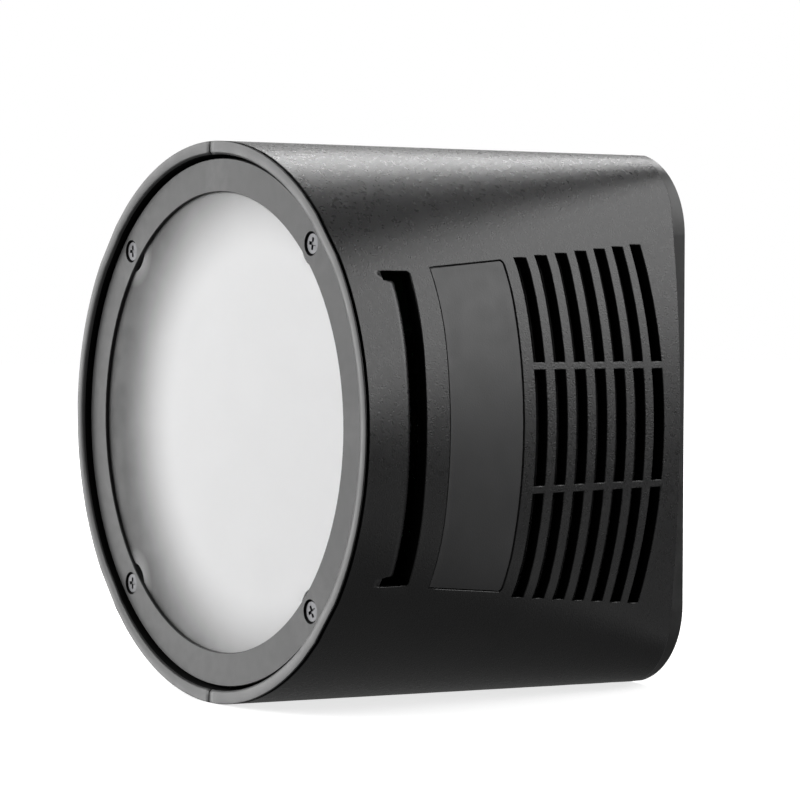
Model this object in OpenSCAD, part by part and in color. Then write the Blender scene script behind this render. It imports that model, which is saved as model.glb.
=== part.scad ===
// Round studio flash head with a rectangular rear seat, drawn with its light axis along -Y.
// The origin is the centre of the rear seat plane, +Z is up and the two shells meet on X = 0.
// "Depth" below is the distance behind the front plane of the rim, so Y = depth - head_len.

/* [Body] */
// Diameter of the round front
front_d = 76; // [60:0.5:100]
// Length from the front plane to the rear seat plane
head_len = 62.5; // [60:0.5:80]
// Height of the rear seat outline, along Z
rear_h = 75.2; // [70:0.1:100]
// Width of the rear seat outline, along X
rear_w = 50; // [48:0.5:60]
// Corner radius of the shells at their rear end
rear_corner = 9.5; // [8:0.5:12]
// Corner radius of the collar, which steps in from the shells at its corners
collar_corner = 12; // [10:0.5:14]
// How far each side swells past the rear seat outline at mid height
side_bulge = 2; // [1:0.1:3]
// Thickness of the smooth collar at the rear
collar_len = 2.3; // [1.5:0.1:4]
// Wall thickness of the shells
wall = 2; // [1.9:0.1:2.2]
// Gap between the two shells along the seam
seam_gap = 0.06; // [0.02:0.02:0.2]

/* [Front] */
// Depth of the steel ring behind the front plane
ring_depth = 1.05; // [0.5:0.05:2]
// Thickness of the steel ring at its screws and outer edge
ring_t = 1.2; // [1:0.1:1.5]
// Thickness of the ring's lip, which overlaps the glass
ring_lip_t = 0.5; // [0.4:0.1:0.8]
// Outer diameter of the steel ring
ring_od = 71.4; // [70:0.1:72]
// Inner diameter of the steel ring, which is the visible size of the glass
ring_id = 62.4; // [58:0.1:64]
// Pitch circle diameter of the ring screws
ring_pcd = 66.9; // [66:0.1:68]
// Thickness of the frosted glass
glass_t = 2.7; // [2.2:0.1:3.2]
// Depth of the groove between the smooth rim and the grained body
groove_depth = 0.2; // [0.2:0.05:1]
// Width of that groove
groove_w = 0.45; // [0.3:0.05:0.6]

/* [Scoop slot] */
// Depth at which the scoop slot starts
scoop_start = 6.05; // [5.5:0.05:8]
// Depth at which the scoop slot ends
scoop_end = 10.6; // [9:0.1:12]
// Height of the scoop slot
scoop_h = 40.2; // [30:0.1:42]
// How far the tongue in the slot sinks below the surface
scoop_sink = 2.4; // [1.5:0.1:3]

/* [Label recess] */
// Depth at which the label recess starts at mid height
label_start = 14.8; // [13:0.1:16]
// Depth at which the label recess ends at mid height
label_end = 28.6; // [24:0.1:29]
// Height of the recess at its front edge
label_h_front = 41.4; // [30:0.1:42]
// Height of the recess at its rear edge
label_h_rear = 43.8; // [30:0.1:44]
// Radius of the arc that the recess's front edge follows
label_arc_front = 280; // [120:1:400]
// Radius of the arc that the recess's rear edge follows
label_arc_rear = 124; // [100:1:200]

/* [Vents] */
// Number of vent columns on each side
vent_columns = 7; // [3:1:7]
// Depth of the first vent's front edge at mid height
vent_start = 30.9; // [30.5:0.1:32]
// Distance from one vent column to the next
vent_pitch = 3.95; // [3.5:0.05:4]
// Width of a vent slot
vent_w = 2.1; // [1.5:0.1:2.4]
// Radius of the arc that the first column follows
vent_arc_first = 114; // [80:1:200]
// Radius of the arc that the last column follows
vent_arc_last = 84; // [70:1:200]
// Height of the first column, tip to tip
vent_h_first = 45; // [40:0.1:47]
// Height of the last column, tip to tip
vent_h_last = 49.4; // [40:0.1:51]
// Height of the two ribs that cross every column
vent_rib = 1; // [0.8:0.1:2]
// Height of each crossing rib above or below the middle
vent_rib_z = 8.2; // [6:0.1:10]
// How far the vents sit below the light axis
vent_drop = 0.3; // [0:0.1:1]

/* [Light source] */
// Radius of the ring that the flash tube is bent to
tube_ring_r = 17; // [16.9:0.1:18]
// Outer radius of the flash tube's glass
tube_r = 2.6; // [2:0.1:2.8]
// Angle that the bent tube covers
tube_sweep = 300; // [270:5:310]
// Depth of the tube ring
tube_depth = 14; // [12:0.5:14.5]
// Depth of the reflector bowl
bowl_deep = 18; // [17:0.5:18.5]

/* [Rear contacts] */
// Radius of a power pin
power_pin_r = 1.5; // [1:0.1:2]
// How far a power pin stands out of the seat
power_pin_out = 6; // [4:0.5:8]
// Distance from one power pin to the next
power_pin_pitch = 10; // [8:0.5:11]
// Radius of a signal pin's tip
signal_pin_r = 0.75; // [0.6:0.05:0.9]
// How far a signal pin stands out of the seat when it is free
signal_pin_out = 1.6; // [1.4:0.1:2]
// Distance from one signal pin to the next
signal_pitch = 6; // [5:0.5:7]
// How far the latch hooks stand out of the seat
hook_out = 5; // [4:0.5:6]

/* [Hidden] */
$fn = 96;
eps = 0.01;
front_r = front_d / 2;
body_len = head_len - collar_len;
angle_step = 3;
hollow_start = 2;
// Side cuts start at this X, clear of everything inside the wall
side_cut_x = 20;

// Side swell: an arc that runs tangent into the corner arcs of the rear outline
corner_x = rear_w / 2 - rear_corner;
corner_z = rear_h / 2 - rear_corner;
swell_x = rear_w / 2 + side_bulge;
swell_k = swell_x - corner_x;
swell_r = (swell_k ^ 2 + corner_z ^ 2 - rear_corner ^ 2) / (2 * (swell_k - rear_corner));
swell_angle = asin(corner_z / (swell_r - rear_corner));

// Front stack, as depths
rim_bore_r = 36.2;
rim_bore_deep = 3;
rim_chamfer = 0.35;
ring_back = ring_depth + ring_t;
ring_pad_r = 2.7;
lip_back = ring_depth + ring_lip_t;
glass_r = 34.3;
glass_clear_r = glass_r + 0.15;
glass_back = lip_back + glass_t;
gasket_t = 0.5;
carrier_front = glass_back + gasket_t;
carrier_t = 1.2;
carrier_back = carrier_front + carrier_t;
carrier_r = 34.4;
carrier_tab_r = 35.6;
carrier_tab_w = 32;
carrier_id_r = 29.2;
boss_r = 2.75;
boss_back = 8.2;
boss_clip_r = 35.8;
notch_r = 2.95;
ring_screw_r = 0.8;
ring_head_r = 1.3;
ring_head_h = 0.5;
ring_counterbore_r = 1.6;
ring_counterbore_deep = 0.75;
// How far each ring screw is turned, clockwise from the lower one on the +X side
ring_screw_turns = [20, 45, 45, 55];

// Tongue in the scoop slot and film in the label recess
tongue_end = 8.4;
tongue_t = 1.2;
tongue_gap = 1.2;
tongue_lap = 0.15;
label_deep = 0.4;
film_gap = 0.15;
film_top = 0.12;

// Ribs inside the shells that hold the carrier and the driver board
rib_t = 1.1;
rib_clear = 0.1;
rib_root = 0.5;
first_rib_front = carrier_front - 0.15 - rib_t;
first_rib_r = 34.9;
second_rib_r = 33;
carrier_rib_w = 36;
carrier_rib_z = 24;
board_rib_z = 31.2;

// Light source, as depths and radii
bowl_lip_r = 30.3;
bowl_lip_t = 0.8;
bowl_mouth_r = 29.2;
bowl_hole_r = 10;
bowl_wall = 0.8;
bowl_lip_lap = 0.3;
leg_hole_clear = 0.3;
trigger_hole_r = 0.8;
leg_r = tube_r + 0.1;
leg_end = 27.5;
cap_len = 3;
cap_r = 2.75;
clip_clear = 0.05;
clip_out_r = 3.4;
clip_sweep = 12;
clip_stem_r = 1;
clip_stem_front = tube_depth + 3;
clip_stem_back = 19.9;
lamp_r = 9.4;
lamp_front = 22.4;
lamp_t = 1.2;
led_size = 1.6;
led_t = 0.6;
led_pitch = 4;
lamp_screw_x = 6.9;
lamp_screw_hole_r = 0.75;
lamp_screw_hole_deep = 2;
sink_front = lamp_front + lamp_t;
sink_base_front = 25;
sink_base_back = 27;
sink_r = 14;
sink_fin_back = 36;
sink_post_x = 11.8;
sink_post_r = 1.6;
board_front = 40;
board_back = 41.6;
board_w = 42;
board_h = 66.8;
board_corner = 8;
transformer_x = 12;
transformer_flange_t = 1.5;
transformer_coil_t = 5;
capacitor_x = -14;
capacitor_r = 4;
capacitor_len = 14;
sensor_z = 20;
sensor_r = 1.2;
sensor_front = 36.5;
wire_r = 0.25;
lead_r = 0.5;
power_lead_r = 0.9;

// Insulating baffles behind the vents
baffle_inset = 3.2;
baffle_t = 0.6;
baffle_start = 29.5;
baffle_end = 56.5;
baffle_h = 55;

// Rear end, as depths and radii. The collar's corner arcs would rise past its flat top by its crown.
collar_crown = 0.4;
spigot_inset = 2.4;
spigot_t = 1.4;
spigot_len = 3;
spigot_front = body_len - spigot_len;
rear_screw_x = 19;
rear_screw_z = 31.5;
rear_screw_r = 1;
rear_screw_len = 10.4;
rear_head_r = 2;
rear_head_h = 1.2;
rear_head_sunk = 0.1;
screw_clear = 0.15;
thread_clear = 0.05;
rear_boss_r = 2.6;
rear_boss_front = 50;
block_w = 19.6;
block_h = 33.6;
block_corner = 2;
block_clear = 0.2;
block_front = 54;
block_flange_w = 1.7;
block_flange_t = 2;
contact_board_t = 1.2;
power_x = -4.5;
signal_x = 5;
power_pin_front = 50;
power_pin_bevel = 0.5;
power_root_r = power_pin_r + 0.3;
chamber_r = 1.25;
collar_r = 1.2;
collar_t = 1;
chamber_back = 61;
signal_clear = 0.05;
guide_r = 0.5;
guide_len = 2.5;
spring_wire_r = 0.15;
spring_r = 0.95;
spring_turns = 6;
spring_steps = 14;
hook_w = 8;
hook_t = 1.5;
hook_z = 28.5;
hook_front = 56.5;
hook_lip = 1.5;
hook_foot = 4.5;
hook_clear = 0.2;

// ---------- helpers ----------

// Point on one quarter of the rear outline whose outward normal stands at angle a
function rear_point(a, inset) =
    a < swell_angle
        ? [swell_x - swell_r + (swell_r - inset) * cos(a), (swell_r - inset) * sin(a)]
        : [corner_x + (rear_corner - inset) * cos(a), corner_z + (rear_corner - inset) * sin(a)];

// Point on the body's outline at a depth: straight lines run from the round front to the rear outline
function body_point(depth, a, inset) =
    let (t = depth / body_len, r = front_r - inset)
    (1 - t) * [r * cos(a), r * sin(a)] + t * rear_point(a, inset);

function quarter(depth, inset) = [for (a = [0:angle_step:90]) body_point(depth, a, inset)];
function reversed(points) = [for (i = [len(points) - 1:-1:0]) points[i]];
function mirrored(points, sx, sz) = [for (p = points) [sx * p[0], sz * p[1]]];

// Closed outline of the body at a depth, set in from the surface by an inset
function body_outline(depth, inset) =
    let (q = quarter(depth, inset))
    concat(q, mirrored(reversed(q), -1, 1), mirrored(q, -1, -1), mirrored(reversed(q), 1, -1));

// Extrudes a front-view shape (X, Z) between two depths
module slab(from, to) {
    translate([0, to - head_len, 0])
        rotate([90, 0, 0])
            linear_extrude(to - from) children();
}

// Extrudes a side-view shape (depth, Z) through the wall on the +X side
module side_cut(from_x, to_x) {
    translate([from_x, -head_len, 0])
        rotate([90, 0, 90])
            linear_extrude(to_x - from_x) children();
}

// Turns a profile of (radius, depth) points about the light axis
module lathe() {
    translate([0, -head_len, 0])
        rotate([-90, 0, 0])
            rotate_extrude() children();
}

// Puts a shape drawn along +Z at a front-view place, pointing to the rear from a depth
module rearward(x, z, depth) {
    translate([x, depth - head_len, z])
        rotate([-90, 0, 0]) children();
}

module rod(x, z, from, to, r) {
    rearward(x, z, from) cylinder(r = r, h = to - from);
}

// The body between two depths, set in by one inset at the front and another at the rear
module body_core(from, to, inset_from, inset_to) {
    hull() {
        slab(from, from + eps) polygon(body_outline(from, inset_from));
        slab(to - eps, to) polygon(body_outline(to, inset_to));
    }
}

module rounded(w, h, r) {
    square([w - 2 * r, h], center = true);
    square([w, h - 2 * r], center = true);
    for (x = [-1, 1], z = [-1, 1]) {
        translate([x * (w / 2 - r), z * (h / 2 - r)]) circle(r);
    }
}

module upright_box(w, h) {
    square([w, h], center = true);
}

// Repeats at the four ring screws
module at_ring_screws() {
    for (a = [45:90:315]) {
        rotate([0, a, 0]) translate([ring_pcd / 2, 0, 0]) children();
    }
}

// Screw drawn along +Z with the cross recess in its head at the bottom
module screw(head_r, head_h, shank_r, len) {
    recess = head_r * 0.34;
    difference() {
        union() {
            cylinder(r = head_r, h = head_h);
            cylinder(r = shank_r, h = len);
        }
        for (a = [0, 90]) {
            rotate(a) cube([head_r * 1.25, recess, head_h], center = true);
        }
    }
}

// ---------- shells ----------

// Depth at a height on an arc that bows to the rear, with its crown at a given depth
function bowed(crown, r, z) = crown - r + sqrt(r ^ 2 - z ^ 2);

// Points along such an arc between two heights
function bow(crown, r, from_z, to_z, steps) =
    [for (i = [0:steps]) let (z = from_z + (to_z - from_z) * i / steps) [bowed(crown, r, z), z]];

module vent_row(depth, r, z_low, z_high) {
    steps = 6;
    polygon(concat(bow(depth, r, z_low, z_high, steps), bow(depth + vent_w, r, z_high, z_low, steps)));
}

module vents() {
    inner = vent_rib_z - vent_rib / 2;
    outer = vent_rib_z + vent_rib / 2;
    for (i = [0:vent_columns - 1]) {
        along = i / (vent_columns - 1);
        depth = vent_start + i * vent_pitch;
        tip = (vent_h_first + (vent_h_last - vent_h_first) * along) / 2;
        r = vent_arc_first + (vent_arc_last - vent_arc_first) * along;
        translate([0, -vent_drop]) {
            vent_row(depth, r, -inner, inner);
            vent_row(depth, r, outer, tip);
            vent_row(depth, r, -tip, -outer);
        }
    }
}

module label_window(shrink) {
    steps = 12;
    h_front = label_h_front / 2 - shrink;
    h_rear = label_h_rear / 2 - shrink;
    polygon(concat(bow(label_start + shrink, label_arc_front, -h_front, h_front, steps),
        bow(label_end - shrink, label_arc_rear, h_rear, -h_rear, steps)));
}

// Tongue that starts level with the surface and sinks towards the rear of the scoop slot
module scoop_tongue() {
    from = scoop_start - tongue_lap;
    h = scoop_h - 2 * tongue_gap;
    intersection() {
        difference() {
            body_core(from, tongue_end, 0, scoop_sink);
            body_core(from - eps, tongue_end + eps, tongue_t, scoop_sink + tongue_t);
        }
        side_cut(side_cut_x, front_r) translate([from, -h / 2]) square([tongue_end - from, h]);
    }
}

// Ribs that trap the carrier's tabs and the edges of the driver board
module shell_ribs() {
    carrier_ribs = [[first_rib_front, first_rib_r], [carrier_back + rib_clear, second_rib_r]];
    board_ribs = [board_front - rib_clear - rib_t, board_back + rib_clear];
    intersection() {
        body_core(first_rib_front - rib_clear, board_ribs[1] + rib_t, wall - rib_root, wall - rib_root);
        for (s = [-1, 1]) translate([0, 0, s * front_r]) {
            for (rib = carrier_ribs) {
                slab(rib[0], rib[0] + rib_t) difference() {
                    upright_box(carrier_rib_w, 2 * (front_r - carrier_rib_z));
                    translate([0, -s * front_r]) circle(rib[1]);
                }
            }
            for (d = board_ribs) {
                slab(d, d + rib_t) upright_box(front_d, 2 * (front_r - board_rib_z));
            }
        }
    }
}

module shell_half(labelled) {
    intersection() {
        translate([seam_gap / 2, -head_len, -front_r - 1]) cube([front_d, head_len, 2 * front_r + 2]);
        difference() {
            union() {
                difference() {
                    body_core(0, body_len, 0, 0);
                    body_core(hollow_start, head_len, wall, wall);
                    lathe() polygon([[0, -1], [rim_bore_r + rim_chamfer + 1, -1],
                        [rim_bore_r, rim_chamfer], [rim_bore_r, rim_bore_deep], [0, rim_bore_deep]]);
                    lathe() translate([front_r - groove_w, groove_depth]) square([3, groove_w]);
                    side_cut(side_cut_x, front_r + 1) translate([scoop_start, -scoop_h / 2])
                        square([scoop_end - scoop_start, scoop_h]);
                    side_cut(side_cut_x, front_r + 1) vents();
                    if (labelled) {
                        difference() {
                            side_cut(side_cut_x, front_r) label_window(0);
                            body_core(label_start - 1, label_end + 1, label_deep, label_deep);
                        }
                    }
                }
                scoop_tongue();
                shell_ribs();
                for (s = [-1, 1]) {
                    rod(rear_screw_x, s * rear_screw_z, rear_boss_front, spigot_front - rib_clear,
                        rear_boss_r);
                }
            }
            for (s = [-1, 1]) {
                rod(rear_screw_x, s * rear_screw_z, rear_boss_front - 1, body_len,
                    rear_screw_r + thread_clear);
            }
        }
    }
}

module shell_right() {
    color([0.09, 0.09, 0.1]) shell_half(true);
}

module shell_left() {
    color([0.09, 0.09, 0.1]) mirror([1, 0, 0]) shell_half(false);
}

module label_plate() {
    color([0.14, 0.14, 0.15]) intersection() {
        side_cut(side_cut_x, front_r) label_window(film_gap);
        difference() {
            body_core(label_start - 1, label_end + 1, film_top, film_top);
            body_core(label_start - 2, label_end + 2, label_deep, label_deep);
        }
    }
}

// ---------- front stack ----------

// Ring with a thin lip over the glass and a full-thickness pad at each screw
module front_ring() {
    r_in = ring_id / 2;
    r_out = ring_od / 2;
    edge = 0.1;
    color([0.35, 0.35, 0.37]) difference() {
        union() {
            lathe() polygon([[r_in + edge, ring_depth], [r_out - edge, ring_depth],
                [r_out, ring_depth + edge], [r_out, ring_back], [glass_clear_r, ring_back],
                [glass_clear_r, lip_back], [r_in, lip_back], [r_in, ring_depth + edge]]);
            intersection() {
                at_ring_screws() rod(0, 0, lip_back - eps, ring_back, ring_pad_r);
                slab(lip_back - eps, ring_back) difference() {
                    circle(glass_clear_r + edge);
                    circle(r_in);
                }
            }
        }
        at_ring_screws() {
            rod(0, 0, ring_depth - 1, ring_depth + ring_counterbore_deep, ring_counterbore_r);
            rod(0, 0, ring_depth, ring_back + 1, ring_screw_r + screw_clear);
        }
    }
}

module ring_screws() {
    head_front = ring_depth + ring_counterbore_deep - ring_head_h;
    color([0.5, 0.5, 0.52]) for (i = [0:3]) {
        rotate([0, 45 + 90 * i, 0])
            rearward(ring_pcd / 2, 0, head_front)
                rotate(ring_screw_turns[i])
                    screw(ring_head_r, ring_head_h, ring_screw_r, boss_back - head_front);
    }
}

module diffuser_glass() {
    color([0.92, 0.93, 0.93]) difference() {
        slab(lip_back, glass_back) circle(glass_r);
        at_ring_screws() rod(0, 0, lip_back - 1, glass_back + 1, notch_r);
    }
}

module glass_gasket() {
    color([0.1, 0.1, 0.1]) difference() {
        slab(glass_back, carrier_front) difference() {
            circle(glass_r - 0.3);
            circle(carrier_id_r + 0.4);
        }
        at_ring_screws() rod(0, 0, glass_back - 1, carrier_front + 1, notch_r);
    }
}

module front_carrier() {
    color([0.06, 0.06, 0.06]) difference() {
        union() {
            slab(carrier_front, carrier_back) circle(carrier_r);
            slab(carrier_front, carrier_back) intersection() {
                circle(carrier_tab_r);
                upright_box(carrier_tab_w, front_d);
            }
            intersection() {
                at_ring_screws() rod(0, 0, ring_back, boss_back, boss_r);
                rod(0, 0, ring_back, boss_back, boss_clip_r);
            }
        }
        slab(carrier_front - eps, carrier_back + eps) circle(carrier_id_r);
        at_ring_screws() rod(0, 0, ring_back - 1, boss_back + 1, ring_screw_r + thread_clear);
    }
}

// ---------- light source ----------

// Place on the tube ring, measured anticlockwise from +X in the front view
function ring_x(a) = tube_ring_r * cos(a);
function ring_z(a) = tube_ring_r * sin(a);
tube_end_angles = [-90 + (360 - tube_sweep) / 2, -90 - (360 - tube_sweep) / 2];
trigger_angle = -75;

module reflector() {
    steps = 14;
    function bowl(r, grow) = let (a = bowl_mouth_r + grow, b = bowl_deep + grow)
        carrier_back + b * sqrt(max(0, 1 - (r / a) ^ 2));
    inner = [for (i = [0:steps]) let (r = bowl_hole_r + (bowl_mouth_r - bowl_hole_r) * sin(90 * i / steps))
        [r, bowl(r, 0)]];
    outer = [for (i = [steps:-1:0]) let (r = bowl_hole_r
        + (bowl_mouth_r + bowl_wall - bowl_hole_r) * sin(90 * i / steps)) [r, bowl(r, bowl_wall)]];
    color([0.85, 0.85, 0.86]) difference() {
        union() {
            lathe() polygon(concat(inner, outer));
            slab(carrier_back, carrier_back + bowl_lip_t) difference() {
                circle(bowl_lip_r);
                circle(bowl_mouth_r + bowl_lip_lap);
            }
        }
        for (a = tube_end_angles) {
            rod(ring_x(a), ring_z(a), tube_depth, leg_end, leg_r + leg_hole_clear);
        }
        rod(ring_x(trigger_angle), ring_z(trigger_angle), tube_depth, leg_end, trigger_hole_r);
    }
}

// Part of a ring about the light axis: start and sweep are front-view angles
module ring_part(start, sweep, depth) {
    translate([0, depth - head_len, 0])
        rotate([90, 0, 0])
            rotate([0, 0, start])
                rotate_extrude(angle = sweep) translate([tube_ring_r, 0]) children();
}

module flash_tube() {
    color([0.85, 0.88, 0.9, 0.6]) {
        ring_part(tube_end_angles[0], tube_sweep, tube_depth) circle(tube_r, $fn = 48);
        for (a = tube_end_angles) {
            rod(ring_x(a), ring_z(a), tube_depth - leg_r, leg_end, leg_r);
        }
    }
}

module tube_caps() {
    color([0.7, 0.7, 0.72]) for (a = tube_end_angles) {
        rod(ring_x(a), ring_z(a), leg_end, leg_end + cap_len, cap_r);
    }
}

module tube_clips() {
    color([0.9, 0.9, 0.88]) for (a = [0, 90, 180]) {
        ring_part(a - clip_sweep / 2, clip_sweep, tube_depth) difference() {
            circle(clip_out_r, $fn = 48);
            circle(tube_r + clip_clear, $fn = 48);
            translate([-clip_out_r - 1, 0]) square(2 * clip_out_r + 2);
        }
        rod(ring_x(a), ring_z(a), clip_stem_front, clip_stem_back, clip_stem_r);
    }
}

module trigger_wire() {
    front = tube_depth - leg_r - wire_r - eps;
    color([0.75, 0.72, 0.65]) {
        ring_part(trigger_angle, tube_sweep + tube_end_angles[0] - trigger_angle, front)
            circle(wire_r, $fn = 16);
        rod(ring_x(trigger_angle), ring_z(trigger_angle), front, board_front, wire_r);
    }
}

module tube_leads() {
    color([0.8, 0.15, 0.12]) for (a = tube_end_angles) {
        rod(ring_x(a), ring_z(a), leg_end + cap_len, board_front, lead_r);
    }
}

module lamp_board() {
    color([0.9, 0.9, 0.88]) difference() {
        rod(0, 0, lamp_front, sink_front, lamp_r);
        for (s = [-1, 1]) rod(s * lamp_screw_x, 0, lamp_front - 1, sink_front + 1, lamp_screw_hole_r);
    }
}

module lamp_leds() {
    color([0.95, 0.8, 0.35]) for (i = [-1:1], j = [-1:1]) {
        slab(lamp_front - led_t, lamp_front) translate([i * led_pitch, j * led_pitch])
            upright_box(led_size, led_size);
    }
}

module lamp_screws() {
    head_h = 0.7;
    color([0.6, 0.6, 0.62]) for (s = [-1, 1]) {
        rearward(s * lamp_screw_x, 0, lamp_front - head_h) screw(1.2, head_h, 0.7, 3.4);
    }
}

module heat_sink() {
    fin_t = 1;
    fin_pitch = 3;
    fin_reach = 12.6;
    color([0.75, 0.76, 0.78]) difference() {
        union() {
            rod(0, 0, sink_front, sink_base_front, lamp_r);
            rod(0, 0, sink_base_front, sink_base_back, sink_r);
            for (i = [-3:3]) {
                fin_h = 2 * sqrt(fin_reach ^ 2 - (abs(i) * fin_pitch + fin_t / 2) ^ 2);
                slab(sink_base_back - eps, sink_fin_back) translate([i * fin_pitch, 0])
                    upright_box(fin_t, fin_h);
            }
        }
        for (s = [-1, 1]) {
            rod(s * lamp_screw_x, 0, sink_front - 1, sink_front + lamp_screw_hole_deep, lamp_screw_hole_r);
        }
    }
}

module sink_posts() {
    color([0.8, 0.68, 0.35]) for (s = [-1, 1]) {
        rod(s * sink_post_x, 0, sink_base_back, board_front, sink_post_r);
    }
}

// ---------- electronics ----------

module driver_board() {
    color([0.05, 0.3, 0.15]) slab(board_front, board_back) rounded(board_w, board_h, board_corner);
}

module trigger_transformer() {
    coil_front = board_back + transformer_flange_t;
    coil_back = coil_front + transformer_coil_t;
    color([0.12, 0.12, 0.12]) translate([transformer_x, 0, 0]) {
        slab(board_back, coil_front) upright_box(12, 16);
        slab(coil_front, coil_back) upright_box(9, 12);
        slab(coil_back, coil_back + transformer_flange_t) upright_box(12, 16);
    }
}

module trigger_capacitor() {
    color([0.15, 0.2, 0.45]) translate([capacitor_x, board_back - head_len + capacitor_r, 0])
        cylinder(r = capacitor_r, h = capacitor_len, center = true);
}

module thermal_sensor() {
    color([0.1, 0.1, 0.1]) rod(0, sensor_z, sensor_front, board_front, sensor_r);
}

module power_leads() {
    color([0.7, 0.1, 0.1]) for (i = [-1:1]) {
        rod(power_x, i * power_pin_pitch, board_back, power_pin_front, power_lead_r);
    }
}

module baffle_half() {
    intersection() {
        translate([0, -head_len, -baffle_h / 2]) cube([front_d, head_len, baffle_h]);
        difference() {
            body_core(baffle_start, baffle_end, baffle_inset, baffle_inset);
            body_core(baffle_start - 1, baffle_end + 1, baffle_inset + baffle_t, baffle_inset + baffle_t);
        }
    }
}

module baffle_right() {
    color([0.03, 0.03, 0.03]) baffle_half();
}

module baffle_left() {
    color([0.03, 0.03, 0.03]) mirror([1, 0, 0]) baffle_half();
}

// ---------- rear end ----------

module at_rear_screws() {
    for (x = [-1, 1], z = [-1, 1]) {
        translate([x * rear_screw_x, 0, z * rear_screw_z]) children();
    }
}

module rear_frame() {
    color([0.12, 0.12, 0.13]) difference() {
        union() {
            slab(body_len, head_len) intersection() {
                rounded(rear_w, rear_h + 2 * collar_crown, collar_corner);
                upright_box(rear_w, rear_h);
            }
            slab(spigot_front, body_len) difference() {
                rounded(rear_w - 2 * spigot_inset, rear_h - 2 * spigot_inset, rear_corner - spigot_inset);
                rounded(rear_w - 2 * (spigot_inset + spigot_t), rear_h - 2 * (spigot_inset + spigot_t),
                    rear_corner - spigot_inset - spigot_t);
            }
            intersection() {
                at_rear_screws() rod(0, 0, spigot_front, body_len, rear_boss_r);
                slab(spigot_front, body_len)
                    rounded(rear_w - 2 * spigot_inset, rear_h - 2 * spigot_inset, rear_corner - spigot_inset);
            }
        }
        slab(body_len - eps, head_len + eps)
            rounded(block_w + 2 * block_clear, block_h + 2 * block_clear, block_corner + block_clear);
        at_rear_screws() {
            rod(0, 0, spigot_front - 1, head_len + 1, rear_screw_r + screw_clear);
            rod(0, 0, head_len - rear_head_h - rear_head_sunk, head_len + 1, rear_head_r + screw_clear);
        }
        for (s = [-1, 1]) {
            slab(body_len - eps, head_len + eps) translate([0, s * (hook_z + hook_t / 2)])
                upright_box(hook_w + 2 * hook_clear, hook_t + 2 * hook_clear);
        }
    }
}

module rear_screws() {
    color([0.55, 0.55, 0.57]) at_rear_screws()
        translate([0, -rear_head_sunk, 0]) rotate([90, 0, 0])
            screw(rear_head_r, rear_head_h, rear_screw_r, rear_screw_len);
}

// Two steel hooks that the mating body's latch grips
module latch_hooks() {
    hook_back = head_len + hook_out;
    color([0.65, 0.66, 0.68]) for (s = [-1, 1]) {
        slab(hook_front, hook_back)
            translate([0, s * (hook_z + hook_t / 2)]) upright_box(hook_w, hook_t);
        slab(hook_back - hook_lip, hook_back)
            translate([0, s * (hook_z + hook_t + hook_lip / 2 - eps)]) upright_box(hook_w, hook_lip);
        slab(hook_front, hook_front + hook_t)
            translate([0, s * (hook_z + hook_foot / 2)]) upright_box(hook_w, hook_foot);
    }
}

function signal_z(i) = (i - 2.5) * signal_pitch;

module contact_block() {
    color([0.05, 0.05, 0.05]) difference() {
        union() {
            slab(block_front, head_len) rounded(block_w, block_h, block_corner);
            slab(body_len - block_flange_t, body_len)
                rounded(block_w + 2 * block_flange_w, block_h + 2 * block_flange_w, block_corner);
        }
        for (i = [-1:1]) {
            rod(power_x, i * power_pin_pitch, block_front - 1, head_len + 1, power_root_r + 0.02);
        }
        for (i = [1:4]) {
            rod(signal_x, signal_z(i), block_front - 1, chamber_back, chamber_r);
            rod(signal_x, signal_z(i), chamber_back - 1, head_len + 1, signal_pin_r + signal_clear);
        }
    }
}

module contact_board() {
    color([0.05, 0.3, 0.15]) difference() {
        slab(block_front - contact_board_t, block_front) rounded(block_w + 2, block_h + 2, block_corner);
        for (i = [-1:1]) {
            rod(power_x, i * power_pin_pitch, block_front - 3, block_front + 1, power_root_r + 0.1);
        }
    }
}

module power_pins() {
    shoulder = head_len + power_pin_out - power_pin_bevel;
    color([0.83, 0.67, 0.3]) for (i = [-1:1]) {
        rod(power_x, i * power_pin_pitch, power_pin_front, head_len, power_root_r);
        rod(power_x, i * power_pin_pitch, head_len - eps, shoulder, power_pin_r);
        rearward(power_x, i * power_pin_pitch, shoulder)
            cylinder(r1 = power_pin_r, r2 = power_pin_r - power_pin_bevel, h = power_pin_bevel);
    }
}

// Sprung pin: round tip, collar that stops it in the block, and a stub that guides its spring
module signal_pin(i) {
    tip = head_len + signal_pin_out - signal_pin_r;
    color([0.83, 0.67, 0.3]) {
        rod(signal_x, signal_z(i), chamber_back - collar_t, tip, signal_pin_r);
        rearward(signal_x, signal_z(i), tip) sphere(signal_pin_r, $fn = 48);
        rod(signal_x, signal_z(i), chamber_back - collar_t, chamber_back, collar_r);
        rod(signal_x, signal_z(i), chamber_back - collar_t - guide_len, chamber_back, guide_r);
    }
}

// Coil spring between the contact board and the pin's collar
module signal_spring(i) {
    sides = 6;
    rings = spring_turns * spring_steps;
    len = chamber_back - collar_t - block_front - 2 * spring_wire_r;
    points = [for (k = [0:rings], s = [0:sides - 1])
        let (turn = 360 * k / spring_steps, a = 360 * s / sides, r = spring_r + spring_wire_r * cos(a))
        [r * cos(turn), r * sin(turn), spring_wire_r + len * k / rings + spring_wire_r * 0.99 * sin(a)]];
    walls = [for (k = [0:rings - 1], s = [0:sides - 1])
        let (a = k * sides + s, b = k * sides + (s + 1) % sides)
        [a, a + sides, b + sides, b]];
    start = [for (s = [0:sides - 1]) s];
    finish = [for (s = [sides - 1:-1:0]) rings * sides + s];
    color([0.7, 0.7, 0.72]) rearward(signal_x, signal_z(i), block_front)
        polyhedron(points, concat(walls, [start, finish]));
}

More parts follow.
